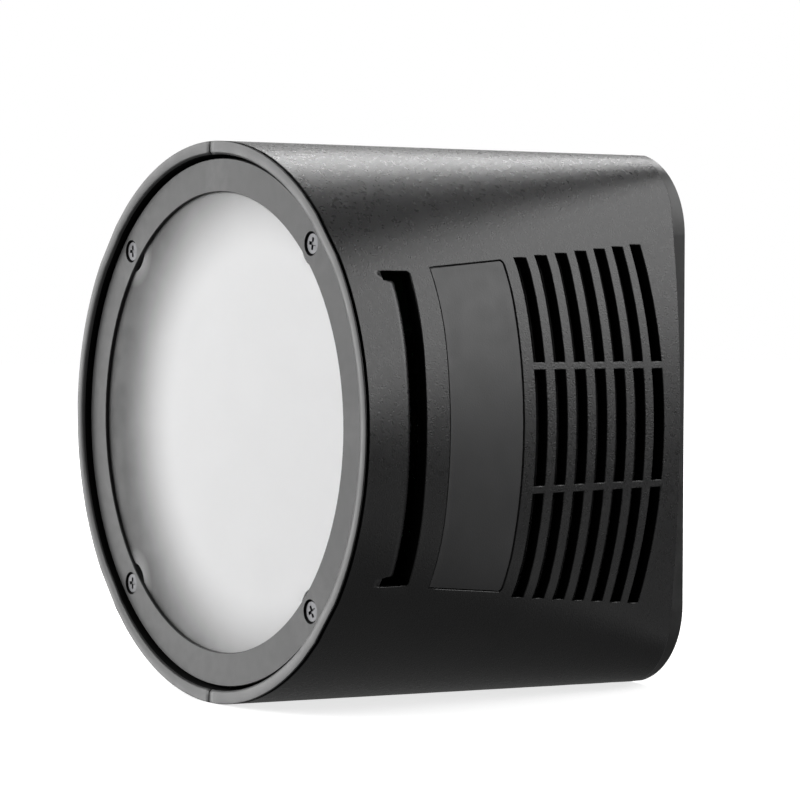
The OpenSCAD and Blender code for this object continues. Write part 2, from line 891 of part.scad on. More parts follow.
module signal_pin_1() { signal_pin(1); }
module signal_pin_2() { signal_pin(2); }
module signal_pin_3() { signal_pin(3); }
module signal_pin_4() { signal_pin(4); }
module signal_spring_1() { signal_spring(1); }
module signal_spring_2() { signal_spring(2); }
module signal_spring_3() { signal_spring(3); }
module signal_spring_4() { signal_spring(4); }

shell_right();
shell_left();
label_plate();
front_ring();
ring_screws();
diffuser_glass();
glass_gasket();
front_carrier();
reflector();
flash_tube();
tube_caps();
tube_clips();
trigger_wire();
tube_leads();
lamp_board();
lamp_leds();
lamp_screws();
heat_sink();
sink_posts();
driver_board();
trigger_transformer();
trigger_capacitor();
thermal_sensor();
power_leads();
baffle_right();
baffle_left();
rear_frame();
rear_screws();
latch_hooks();
contact_block();
contact_board();
power_pins();
signal_pin_1();
signal_pin_2();
signal_pin_3();
signal_pin_4();
signal_spring_1();
signal_spring_2();
signal_spring_3();
signal_spring_4();
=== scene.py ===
"""Looks of the studio flash head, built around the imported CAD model.

The light axis runs along -Y, +Z is up and +X is the side with the label. Lengths are in millimetres
until a mesh is made, and "depth" is the distance behind the front plane of the rim.
"""

import math

import bmesh
import bpy
import numpy as np
from mathutils import Matrix, Vector


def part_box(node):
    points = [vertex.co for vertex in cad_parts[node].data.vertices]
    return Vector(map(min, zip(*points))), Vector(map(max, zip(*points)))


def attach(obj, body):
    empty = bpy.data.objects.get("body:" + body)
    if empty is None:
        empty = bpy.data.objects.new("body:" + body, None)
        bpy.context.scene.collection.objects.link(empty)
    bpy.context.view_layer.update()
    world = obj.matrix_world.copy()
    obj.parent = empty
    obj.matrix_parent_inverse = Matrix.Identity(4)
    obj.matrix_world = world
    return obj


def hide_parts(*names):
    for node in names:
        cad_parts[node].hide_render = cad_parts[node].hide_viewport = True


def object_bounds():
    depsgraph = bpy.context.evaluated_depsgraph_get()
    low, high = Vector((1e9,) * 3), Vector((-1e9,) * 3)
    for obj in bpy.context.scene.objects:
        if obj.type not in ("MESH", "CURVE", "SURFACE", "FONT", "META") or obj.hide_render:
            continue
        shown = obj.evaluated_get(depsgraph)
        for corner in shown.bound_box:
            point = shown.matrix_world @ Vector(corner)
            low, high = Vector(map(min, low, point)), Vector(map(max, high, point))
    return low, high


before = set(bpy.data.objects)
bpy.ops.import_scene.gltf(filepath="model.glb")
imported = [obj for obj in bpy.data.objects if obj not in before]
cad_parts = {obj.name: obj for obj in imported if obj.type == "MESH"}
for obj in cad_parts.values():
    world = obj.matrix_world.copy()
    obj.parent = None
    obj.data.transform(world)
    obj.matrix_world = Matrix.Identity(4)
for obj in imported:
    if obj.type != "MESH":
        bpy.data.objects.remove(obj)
cad_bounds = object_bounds()

MM = 0.001
BODY = "head"


def box_mm(node):
    """The low and the high corner of a CAD node's box."""
    low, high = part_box(node)
    return low / MM, high / MM


# ---------- sizes ----------

shell_low, shell_high = box_mm("shell_right")
collar_high = box_mm("rear_frame")[1]

# Body: round at the front, and at the rear a rectangle with round corners and swollen sides
FRONT_Y = shell_low.y
FRONT_R = shell_high.z
BODY_LEN = shell_high.y - shell_low.y
REAR_HALF_W = collar_high.x
REAR_HALF_H = collar_high.z
REAR_CORNER = 9.5
SIDE_BULGE = 2.0
WALL = 2.0
SEAM_X = shell_low.x

# Side swell: an arc that runs tangent into the corner arcs of the rear outline
CORNER_X = REAR_HALF_W - REAR_CORNER
CORNER_Z = REAR_HALF_H - REAR_CORNER
SWELL_X = REAR_HALF_W + SIDE_BULGE
SWELL_REACH = SWELL_X - CORNER_X
SWELL_R = (SWELL_REACH**2 + CORNER_Z**2 - REAR_CORNER**2) / (2 * (SWELL_REACH - REAR_CORNER))
SWELL_SIN = CORNER_Z / (SWELL_R - REAR_CORNER)

# Rim, its bore and the groove behind it
RIM_BORE_R = 36.2
RIM_BORE_DEEP = 3.0
RIM_CHAMFER = 0.35
RIM_LIP = 0.1
GROOVE_DEPTH = 0.2
GROOVE_W = 0.45
GROOVE_DEEP = 0.45
GROOVE_SOFT = 0.06
SCREW_CIRCLE_R = 33.45
SCREW_XZ = SCREW_CIRCLE_R * math.sqrt(0.5)

# How far edges are rounded: round openings, along the seam and at the rear
SOFT_EDGE = 0.12
SEAM_ROUND = 0.1
REAR_SOFT = 0.1

# Scoop: a slot whose front lip, the tongue, bends into the body between two side gaps
SCOOP_START = 6.05
SCOOP_END = 10.6
SCOOP_HALF_H = 20.1
SCOOP_CORNER = 0.5
TONGUE_GAP = 1.2
TONGUE_BEND = 6.9
TONGUE_R = 1.5
TONGUE_T = 1.2
TONGUE_SIDE = 0.3

# Label recess, whose front and rear edges are arcs, and the film that lies in it
LABEL_START = 14.8
LABEL_END = 28.6
LABEL_HALF_FRONT = 20.7
LABEL_HALF_REAR = 21.9
LABEL_ARC_FRONT = 280.0
LABEL_ARC_REAR = 124.0
LABEL_DEEP = 0.4
LABEL_CORNER = 0.6
LABEL_EDGE = 0.06
FILM_GAP = 0.15
FILM_TOP = 0.12
FILM_CLEAR = 0.01
FILM_ROWS = 9
FILM_COLUMNS = 15

# Vents: columns of slots, each split in three by one rib above mid height and one below
VENT_COLUMNS = 7
VENT_START = 30.9
VENT_PITCH = 3.95
VENT_W = 2.1
VENT_ARC_FIRST = 114.0
VENT_ARC_LAST = 84.0
VENT_TIP_FIRST = 22.5
VENT_TIP_LAST = 24.7
VENT_DROP = 0.3
RIB_LOW = 7.7
RIB_HIGH = 8.7

# Above this height the shell's lines are spaced along the outline and no longer by height
SPLIT_Z = 29.8
CROWN_STEPS = 24
SHARP_ANGLE = math.radians(50)


# ---------- the body's outline ----------


def outline_at(depth, z, inset):
    """Whether a point of the outline is on the side arc, and the sine of its normal's angle."""
    t = depth / BODY_LEN
    side_r = (1 - t) * FRONT_R + t * SWELL_R - inset
    corner_r = (1 - t) * FRONT_R + t * REAR_CORNER - inset
    height = np.abs(z)
    on_side = height < side_r * SWELL_SIN
    sine = np.where(on_side, height / side_r, (height - t * CORNER_Z) / corner_r)
    return on_side, np.where(on_side, side_r, corner_r), np.minimum(sine, 1)


def half_width(depth, z, inset):
    """Half width of the body at a depth and a height, set in from its surface."""
    t = depth / BODY_LEN
    on_side, radius, sine = outline_at(depth, z, inset)
    centre = np.where(on_side, t * (SWELL_X - SWELL_R), t * CORNER_X)
    return centre + radius * np.sqrt(1 - sine**2)


def surface_normal(depth, z):
    """Outward normal of the +X half of the body where no edge is rounded."""
    on_side, radius, sine = outline_at(depth, z, 0)
    cosine = np.sqrt(1 - sine**2)
    on_corner = CORNER_X * cosine + CORNER_Z * sine + REAR_CORNER
    reach = np.where(on_side, (SWELL_X - SWELL_R) * cosine + SWELL_R, on_corner)
    normal = np.array([cosine, (FRONT_R - reach) / BODY_LEN, math.copysign(1, z) * sine])
    return normal / np.linalg.norm(normal)


def crown_points(depth, inset, share):
    """(x, z) above SPLIT_Z: share 0 is at SPLIT_Z and share 1 is beside the seam."""
    t = depth / BODY_LEN
    radius = (1 - t) * FRONT_R + t * REAR_CORNER - inset
    start = np.arcsin((SPLIT_Z - t * CORNER_Z) / radius)
    arc = radius * (math.pi / 2 - start)
    along = share * (arc + t * CORNER_X - SEAM_X - SEAM_ROUND)
    angle = start + np.minimum(along, arc) / radius
    x = t * CORNER_X + radius * np.cos(angle) - np.maximum(along - arc, 0)
    return x, t * CORNER_Z + radius * np.sin(angle)


def sag(bend, z):
    """How far forward an arc of curvature bend has come at a height."""
    return bend * z**2 / (1 + np.sqrt(1 - (bend * z) ** 2))


# ---------- lines of the shell ----------

# A column is a line that runs from front to rear. It keeps a fixed height ("at"), or one measured
# from the ends of the scoop and label ("end") or from the tips of the vents ("tip"). A "round" one
# lies inside the end, by a share of the corner's radius.
COLUMNS = [("at", z) for z in (0, 1.5, 3, 4.5, 6.1, RIB_LOW, RIB_LOW + SOFT_EDGE)]
COLUMNS += [("at", z) for z in (RIB_HIGH - SOFT_EDGE, RIB_HIGH, 10.3, 11.8, 13.3, 14.8, 16.2, 17.5)]
COLUMNS += [("end", -TONGUE_GAP - TONGUE_SIDE), ("end", -TONGUE_GAP), ("round", 1.0)]
COLUMNS += [("round", 0.5), ("end", 0.0), ("end", SOFT_EDGE)]
COLUMNS += [("tip", 0.0), ("tip", SOFT_EDGE), ("at", 27.4), ("at", SPLIT_Z)]
SIDE_COLUMNS = len(COLUMNS)
RIB_LOW_COLUMN = COLUMNS.index(("at", RIB_LOW))
RIB_HIGH_COLUMN = COLUMNS.index(("at", RIB_HIGH))
TONGUE_COLUMN = COLUMNS.index(("end", -TONGUE_GAP))
END_COLUMN = COLUMNS.index(("end", 0.0))
TIP_COLUMN = COLUMNS.index(("tip", 0.0))
# How much of the vents' drop each column takes: all of it up to their tips, none at SPLIT_Z
DROP_SHARES = np.interp(np.arange(SIDE_COLUMNS), [TIP_COLUMN + 1, SIDE_COLUMNS - 1], [1, 0])
CROWN_SHARES = np.linspace(0, 1, CROWN_STEPS + 1)[1:]

# Values that change evenly from one depth to the next: the curvature of the lines, the heights of
# the ends and tips, and the vents' drop. Away from the vents the tips only keep the columns apart.
TIP_AT_FRONT = 22.0
TIP_AT_LABEL = VENT_TIP_FIRST - 0.1
END_AT_REAR = LABEL_HALF_REAR + 0.05

vent_fronts = [VENT_START + i * VENT_PITCH for i in range(VENT_COLUMNS)]
vent_arcs = np.linspace(VENT_ARC_FIRST, VENT_ARC_LAST, VENT_COLUMNS)
vent_tips = np.linspace(VENT_TIP_FIRST, VENT_TIP_LAST, VENT_COLUMNS)

BEND_DEPTHS = [0, SCOOP_END + SOFT_EDGE, LABEL_START - SOFT_EDGE, LABEL_START, LABEL_END,
               LABEL_END + SOFT_EDGE]
BENDS = [0, 0, 1 / LABEL_ARC_FRONT, 1 / LABEL_ARC_FRONT, 1 / LABEL_ARC_REAR, 1 / LABEL_ARC_REAR]
DROP_DEPTHS = [LABEL_END + SOFT_EDGE, VENT_START - SOFT_EDGE]
TIP_DEPTHS = [0.0, LABEL_END]
TIPS = [TIP_AT_FRONT, TIP_AT_LABEL]
for front, arc, tip in zip(vent_fronts, vent_arcs, vent_tips):
    BEND_DEPTHS += [front - SOFT_EDGE, front + VENT_W + SOFT_EDGE]
    BENDS += [1 / arc, 1 / arc]
    TIP_DEPTHS += [front - SOFT_EDGE, front + VENT_W + SOFT_EDGE]
    TIPS += [tip, tip]
BEND_DEPTHS.append(BODY_LEN)
BENDS.append(0)
END_DEPTHS = [0, SCOOP_END + SOFT_EDGE, LABEL_START, LABEL_END, BODY_LEN]
ENDS = [SCOOP_HALF_H, SCOOP_HALF_H, LABEL_HALF_FRONT, LABEL_HALF_REAR, END_AT_REAR]


class Line:
    """A line round half the shell at one depth, measured at mid height.

    It lies inset below the surface. tuck is the direction, as depth and inset, in which it turns
    in at the seam. A circle keeps the rim's shape, and mark names the line for the cells. sink is
    how far in the tongue has bent there.
    """

    def __init__(self, depth, inset=0.0, tuck=(0.0, 1.0), mark="", circle=False):
        self.depth = depth
        self.inset = inset
        self.tuck = tuck
        self.mark = mark
        self.circle = circle
        self.sink = 0.0
        self.bend = float(np.interp(depth, BEND_DEPTHS, BENDS))
        self.end = float(np.interp(depth, END_DEPTHS, ENDS))
        self.tip = float(np.interp(depth, TIP_DEPTHS, TIPS))
        self.drop = float(np.interp(depth, DROP_DEPTHS, [0, VENT_DROP]))
        self.round = LABEL_CORNER if depth > SCOOP_END + 1 else SCOOP_CORNER

    def heights(self):
        base = {"at": 0.0, "end": self.end, "tip": self.tip}
        return np.array(
            [self.end - share * self.round if kind == "round" else base[kind] + share
             for kind, share in COLUMNS]
        )


# Most lines at a bare depth only keep the cells short


def rim_lines():
    """From the end of the front bore, round the rim, through the groove and onto the body."""
    bore = FRONT_R - RIM_BORE_R
    into = (0.0, -1.0)
    groove_end = GROOVE_DEPTH + GROOVE_W
    soft = GROOVE_SOFT
    return [
        Line(RIM_BORE_DEEP, bore, into, circle=True),
        Line(1.2, bore, into, circle=True),
        Line(RIM_CHAMFER, bore, into, "bore end", circle=True),
        Line(0.0, bore - RIM_CHAMFER, (0.8, -0.2), circle=True),
        Line(0.0, RIM_LIP, (1.0, 0.0)),
        Line(0.3 * RIM_LIP, 0.3 * RIM_LIP, (0.7, 0.7)),
        Line(RIM_LIP, 0.0),
        Line(GROOVE_DEPTH - soft, 0.0),
        Line(GROOVE_DEPTH, soft, (-0.7, 0.7), "rim end"),
        Line(GROOVE_DEPTH, GROOVE_DEEP),
        Line(groove_end, GROOVE_DEEP),
        Line(groove_end, soft, (0.7, 0.7)),
        Line(groove_end + soft, 0.0, mark="body start"),
        Line(2.2, 0.0),
    ]


def scoop_lines():
    lines = [Line(3.6, mark="inner start"), Line(4.9), Line(SCOOP_START, mark="scoop start")]
    lines.append(Line(TONGUE_BEND))
    for angle in (15, 30, 45, 60, 75, 90):
        turn = math.radians(angle)
        bent = Line(TONGUE_BEND + TONGUE_R * math.sin(turn))
        bent.sink = TONGUE_R * (1 - math.cos(turn))
        lines.append(bent)
    lines[-1].mark = "tongue end"
    lines += [Line(SCOOP_END - SCOOP_CORNER), Line(SCOOP_END - SCOOP_CORNER / 2)]
    lines += [Line(SCOOP_END, mark="scoop end"), Line(SCOOP_END + SOFT_EDGE), Line(12.6)]
    return lines


def label_lines():
    lines = [Line(LABEL_START - SOFT_EDGE), Line(LABEL_START, mark="label start")]
    lines += [Line(d) for d in np.linspace(LABEL_START, LABEL_END - LABEL_CORNER, 7)[1:]]
    lines += [Line(LABEL_END - LABEL_CORNER / 2), Line(LABEL_END, mark="label end")]
    return lines + [Line(LABEL_END + SOFT_EDGE), Line(29.8)]


def vent_lines():
    lines = []
    for front in vent_fronts:
        lines += [Line(front - SOFT_EDGE), Line(front, mark="vent start")]
        lines += [Line(front + VENT_W, mark="vent end"), Line(front + VENT_W + SOFT_EDGE)]
    return lines


def rear_lines():
    lines = [Line(58.2), Line(59.2), Line(BODY_LEN - REAR_SOFT)]
    lines.append(Line(BODY_LEN - 0.3 * REAR_SOFT, 0.3 * REAR_SOFT, (-0.3, 0.7)))
    return lines + [Line(BODY_LEN, REAR_SOFT, (-0.7, 0.7))]


LINES = rim_lines() + scoop_lines() + label_lines() + vent_lines() + rear_lines()


def rows_of(mark):
    return [k for k, line in enumerate(LINES) if line.mark == mark]


def row_of(mark):
    return rows_of(mark)[0]


ROWS = len(LINES) - 1
BORE_END = row_of("bore end")
RIM_END = row_of("rim end")
BODY_START = row_of("body start")
FIRST_INNER = row_of("inner start")

SIDE_MID = SIDE_COLUMNS + CROWN_STEPS
CELLS = 2 * SIDE_MID


def place_of(j):
    """How many columns away from mid height a grid column is, up or down."""
    return abs(j - SIDE_MID)


# ---------- which cells are open ----------

SOLID, OPENED, RECESS = 0, 1, 2


def cell_kinds(labelled):
    """For each cell of the grid: solid, open right through the wall, or the label's recess."""
    kinds = np.full((ROWS, CELLS), SOLID)
    place = np.array([min(place_of(j), place_of(j + 1)) for j in range(CELLS)])
    for start, end in zip(rows_of("vent start"), rows_of("vent end")):
        low = place < RIB_LOW_COLUMN
        high = (place >= RIB_HIGH_COLUMN) & (place < TIP_COLUMN)
        kinds[start:end, low | high] = OPENED
    tongue = row_of("tongue end")
    beside_tongue = (place >= TONGUE_COLUMN) & (place < END_COLUMN)
    kinds[row_of("scoop start"):tongue, beside_tongue] = OPENED
    kinds[tongue:row_of("scoop end"), place < END_COLUMN] = OPENED
    if labelled:
        kinds[row_of("label start"):row_of("label end"), place < END_COLUMN] = RECESS
    return kinds


def kinds_touching(kinds):
    """For each grid point, whether each kind of cell meets there."""
    touching = np.zeros((ROWS + 1, CELLS + 1, 3), bool)
    for kind in (SOLID, OPENED, RECESS):
        here = np.pad(kinds == kind, 1)
        touching[:, :, kind] = here[:-1, :-1] | here[1:, :-1] | here[:-1, 1:] | here[1:, 1:]
    return touching


# ---------- points of the shell ----------


def round_corner(depths, heights, rows, columns, radius):
    """Rounds a grid corner. rows and columns list the edge's lines, then those half a radius in."""
    half_row, half_column = rows[-1], columns[-1]
    sixteenth, eighth = math.radians(22.5), math.radians(45)
    moves = [(r, c, math.cos(eighth) - 1, math.sin(eighth) - 1) for r in rows[:-1] for c in columns[:-1]]
    moves += [(r, half_column, math.cos(sixteenth) - 1, math.sin(sixteenth) - 0.5) for r in rows[:-1]]
    moves += [(half_row, c, math.sin(sixteenth) - 0.5, math.cos(sixteenth) - 1) for c in columns[:-1]]
    for r, c, deeper, higher in moves:
        depths[r, c] += deeper * radius
        heights[r, c] += higher * radius


def side_grid(labelled):
    """Depth and height of every grid point of the upper half's side, ordered by height."""
    depths = np.array([line.depth - sag(line.bend, line.heights()) for line in LINES])
    heights = np.array([line.heights() for line in LINES])
    edge = [END_COLUMN, END_COLUMN + 1, END_COLUMN - 1]
    corners = {"scoop end": SCOOP_CORNER}
    if labelled:
        corners["label end"] = LABEL_CORNER
    for mark, radius in corners.items():
        end = row_of(mark)
        round_corner(depths, heights, [end, end + 1, end - 1], edge, radius)
    return depths, heights


def inset_grids(kinds):
    """How far in the outer and the inner skin lie at every grid point of the upper half's side."""
    touching = kinds_touching(kinds)
    outer = np.zeros((ROWS + 1, SIDE_COLUMNS))
    inner = np.full((ROWS + 1, SIDE_COLUMNS), WALL)
    for k, line in enumerate(LINES):
        outer[k] = line.inset
        outer[k, : TONGUE_COLUMN + 1] += line.sink
        inner[k, : TONGUE_COLUMN + 1] = max(WALL, line.sink + TONGUE_T)
        for c in range(SIDE_COLUMNS):
            beside_solid, beside_open, beside_recess = touching[k, SIDE_MID + c]
            if beside_open and beside_solid:
                outer[k, c] += SOFT_EDGE
            if beside_recess and beside_solid:
                outer[k, c] += LABEL_EDGE
    start = row_of("scoop start")
    outer[start:row_of("tongue end") + 1, TONGUE_COLUMN] += TONGUE_SIDE - SOFT_EDGE
    outer[start, TONGUE_COLUMN] = 0.0
    return outer, inner


def skin_points(depths, heights, insets, seam_tuck):
    """Points of the whole half shell for one skin. insets holds one value for each grid point."""
    points = np.zeros((ROWS + 1, CELLS + 1, 3))
    ease = 1 - CROWN_SHARES**2 * (3 - 2 * CROWN_SHARES)
    for k, line in enumerate(LINES):
        inset = insets[k]
        deep = line.depth - (line.depth - depths[k, -1]) * ease
        if line.circle:
            radius = FRONT_R - inset[0]
            start = math.asin(SPLIT_Z / FRONT_R)
            crown = start + CROWN_SHARES * (math.pi / 2 - start - (SEAM_X + SEAM_ROUND) / radius)
            crown_x, crown_z = radius * np.cos(crown), radius * np.sin(crown)
        else:
            crown_x, crown_z = crown_points(deep, inset[-1], CROWN_SHARES)
        tuck_depth, tuck_inset = (SEAM_ROUND * value * seam_tuck for value in line.tuck)
        halves = []
        for up in (1, -1):
            if line.circle:
                z = up * radius * heights[k] / FRONT_R
                x = np.sqrt(radius**2 - z**2)
            else:
                z = up * heights[k] - line.drop * DROP_SHARES
                x = half_width(depths[k], z, inset)
            halves.append(np.column_stack([
                np.concatenate([x, crown_x, [SEAM_X]]),
                np.concatenate([depths[k], deep, [deep[-1] + tuck_depth]]) + FRONT_Y,
                np.concatenate([z, up * crown_z, [up * (crown_z[-1] - tuck_inset)]]),
            ]))
        points[k] = np.concatenate([halves[0][::-1], halves[1][1:]])
    return points


# ---------- faces of the shell ----------

# SHADE_SLOT holds a near-black copy of the plastic: painted shade on the walls of the openings, the groove,
# the bore and the inner skin, and a dark joint along the rim's seam.
RIM_SLOT, GRAIN_SLOT, SHADE_SLOT = 0, 1, 2


class Skins:
    """Grids of points that share one mesh. A point's vertex is made when a face first uses it."""

    def __init__(self, side, **grids):
        self.side = side
        self.grids = grids
        self.mesh = bmesh.new()
        self.made = {}

    def vertex(self, key):
        if key not in self.made:
            skin, k, j = key
            x, y, z = self.grids[skin][k, j]
            self.made[key] = self.mesh.verts.new((self.side * x * MM, y * MM, z * MM))
        return self.made[key]

    def face(self, corners, slot):
        face = self.mesh.faces.new([self.vertex(corner) for corner in corners])
        face.smooth = True
        face.material_index = slot

    def cell(self, skin, k, j, slot):
        self.face([(skin, k, j), (skin, k, j + 1), (skin, k + 1, j + 1), (skin, k + 1, j)], slot)

    def wall(self, kinds_beside, a, b):
        """The wall down from the outer skin where two kinds of cell meet, from point a to b."""
        # The walls of openings take the near-black copy of the plastic, painted shade.
        for kind, bottom, slot in ((OPENED, "inner", SHADE_SLOT), (RECESS, "floor", GRAIN_SLOT)):
            if kinds_beside == {SOLID, kind}:
                self.face([("outer", *a), ("outer", *b), (bottom, *b), (bottom, *a)], slot)


def outer_slot(k, j):
    """The material slot of a cell of the outer skin. The bore, the groove and the rim beside the seam take
    the near-black copy of the plastic, painted shade.
    """
    at_seam = j in (0, CELLS - 1)
    if k < BORE_END or RIM_END <= k < BODY_START - 1 or (k < RIM_END and at_seam):
        return SHADE_SLOT
    return RIM_SLOT if k < RIM_END else GRAIN_SLOT


def add_cells(skins, kinds):
    for k, j in np.ndindex(kinds.shape):
        kind = kinds[k, j]
        if kind == SOLID:
            skins.cell("outer", k, j, outer_slot(k, j))
        if kind == RECESS:
            skins.cell("floor", k, j, GRAIN_SLOT)
        if kind != OPENED and k >= FIRST_INNER:
            skins.cell("inner", k, j, SHADE_SLOT)


def add_walls(skins, kinds):
    """The walls of the openings and of the recess."""
    framed = np.pad(kinds, 1, constant_values=SOLID)
    for k in range(ROWS + 1):
        for j in range(CELLS):
            skins.wall({framed[k, j + 1], framed[k + 1, j + 1]}, (k, j), (k, j + 1))
    for k in range(ROWS):
        for j in range(1, CELLS):
            skins.wall({kinds[k, j - 1], kinds[k, j]}, (k, j), (k + 1, j))


def add_ends(skins):
    """The faces that join the skins at the front, at the rear and along the seam."""
    for j in range(CELLS):
        for outer_row, inner_row in ((0, FIRST_INNER), (ROWS, ROWS)):
            skins.face([("outer", outer_row, j), ("outer", outer_row, j + 1),
                        ("inner", inner_row, j + 1), ("inner", inner_row, j)], GRAIN_SLOT)
    for j in (0, CELLS):
        loop = [("outer", k, j) for k in range(ROWS + 1)]
        loop += [("inner", k, j) for k in range(ROWS, FIRST_INNER - 1, -1)]
        skins.face(loop, SHADE_SLOT)


def vertex_normal(skins, outer_inset, key):
    """The true normal on the plain parts of the surface, and zero where an edge is rounded."""
    skin, k, j = key
    c = min(place_of(j), SIDE_COLUMNS - 1)
    at_end = j in (0, CELLS) or not BODY_START <= k < ROWS - 1
    if skin != "outer" or at_end or outer_inset[k, c] > 0:
        return (0, 0, 0)
    x, y, z = skins.grids["outer"][k, j]
    normal = surface_normal(y - FRONT_Y, z)
    return (skins.side * normal[0], normal[1], normal[2])


def shell_mesh(name, side, labelled):
    """One half shell as a closed mesh: outer skin, inner skin, walls of every opening, seam and ends."""
    kinds = cell_kinds(labelled)
    depths, heights = side_grid(labelled)
    outer_inset, inner_inset = inset_grids(kinds)
    # The inner skin starts where the rim's bore ends
    inner_depths = depths.copy()
    inner_depths[FIRST_INNER] = RIM_BORE_DEEP
    skins = Skins(
        side,
        outer=skin_points(depths, heights, outer_inset, 1),
        inner=skin_points(inner_depths, heights, inner_inset, 0),
        floor=skin_points(depths, heights, np.full_like(inner_inset, LABEL_DEEP), 0),
    )
    add_cells(skins, kinds)
    add_walls(skins, kinds)
    add_ends(skins)
    bmesh.ops.recalc_face_normals(skins.mesh, faces=skins.mesh.faces)
    normals = [vertex_normal(skins, outer_inset, key) for key in skins.made]
    return smooth_object(name, skins.mesh, normals)


def make_object(name, mesh):
    """Turns a bmesh into an object of the scene."""
    data = bpy.data.meshes.new(name)
    mesh.to_mesh(data)
    mesh.free()
    piece = bpy.data.objects.new(name, data)
    bpy.context.scene.collection.objects.link(piece)
    return piece


def smooth_object(name, mesh, normals):
    """An object with given vertex normals. A zero one leaves it to the faces that meet there."""
    piece = make_object(name, mesh)
    piece.data.set_sharp_from_angle(angle=SHARP_ANGLE)
    piece.data.normals_split_custom_set_from_vertices(normals)
    return piece


def label_mesh(name):
    """The film in the label recess: a thin closed sheet that follows the body's curve."""
    start, end = LABEL_START + FILM_GAP, LABEL_END - FILM_GAP
    corner = LABEL_CORNER - FILM_GAP
    lines = [start, start + LABEL_EDGE, *np.linspace(start, end - corner, FILM_ROWS)[1:]]
    lines += [end - corner / 2, end - LABEL_EDGE, end]
    share = (np.array(lines) - start) / (end - start)
    half = LABEL_HALF_FRONT + share * (LABEL_HALF_REAR - LABEL_HALF_FRONT) - FILM_GAP
    bend = 1 / LABEL_ARC_FRONT + share * (1 / LABEL_ARC_REAR - 1 / LABEL_ARC_FRONT)
    inner_share = np.linspace(0, 1, FILM_COLUMNS)
    upper = np.array([
        [*(inner_share * (h - corner)), h - corner / 2, h - LABEL_EDGE, h] for h in half
    ])
    depths = np.array([d - sag(b, z) for d, b, z in zip(lines, bend, upper)])
    last, top = len(lines) - 1, upper.shape[1] - 1
    round_corner(depths, upper, [last, last - 1, last - 2], [top, top - 1, top - 2], corner)
    heights = np.hstack([upper[:, ::-1], -upper[:, 1:]])
    depths = np.hstack([depths[:, ::-1], depths[:, 1:]])
    rows, columns = heights.shape
    raised = np.full((rows, columns), FILM_TOP)
    raised[[0, -1]] += LABEL_EDGE
    raised[:, [0, -1]] = FILM_TOP + LABEL_EDGE
    lowered = np.full((rows, columns), LABEL_DEEP - FILM_CLEAR)
    mesh = bmesh.new()
    skins = []
    for inset in (raised, lowered):
        x = half_width(depths, heights, inset)
        skins.append([[mesh.verts.new((x[k, j] * MM, (depths[k, j] + FRONT_Y) * MM, heights[k, j] * MM))
                       for j in range(columns)] for k in range(rows)])
    for skin in skins:
        for k in range(rows - 1):
            for j in range(columns - 1):
                mesh.faces.new([skin[k][j], skin[k][j + 1], skin[k + 1][j + 1], skin[k + 1][j]])
    border = [(0, j) for j in range(columns)] + [(k, columns - 1) for k in range(1, rows)]
    border += [(rows - 1, j) for j in range(columns - 2, -1, -1)] + [(k, 0) for k in range(rows - 2, 0, -1)]
    for a, b in zip(border, border[1:] + border[:1]):
        mesh.faces.new([skins[0][a[0]][a[1]], skins[0][b[0]][b[1]], skins[1][b[0]][b[1]],
                        skins[1][a[0]][a[1]]])
    for face in mesh.faces:
        face.smooth = True
    bmesh.ops.recalc_face_normals(mesh, faces=mesh.faces)
    normals = []
    for is_top in (True, False):
        for k in range(rows):
            for j in range(columns):
                on_border = k in (0, rows - 1) or j in (0, columns - 1)
                if is_top and not on_border:
                    normals.append(surface_normal(depths[k, j], heights[k, j]))
                else:
                    normals.append((0, 0, 0))
    return smooth_object(name, mesh, normals)


# ---------- materials ----------


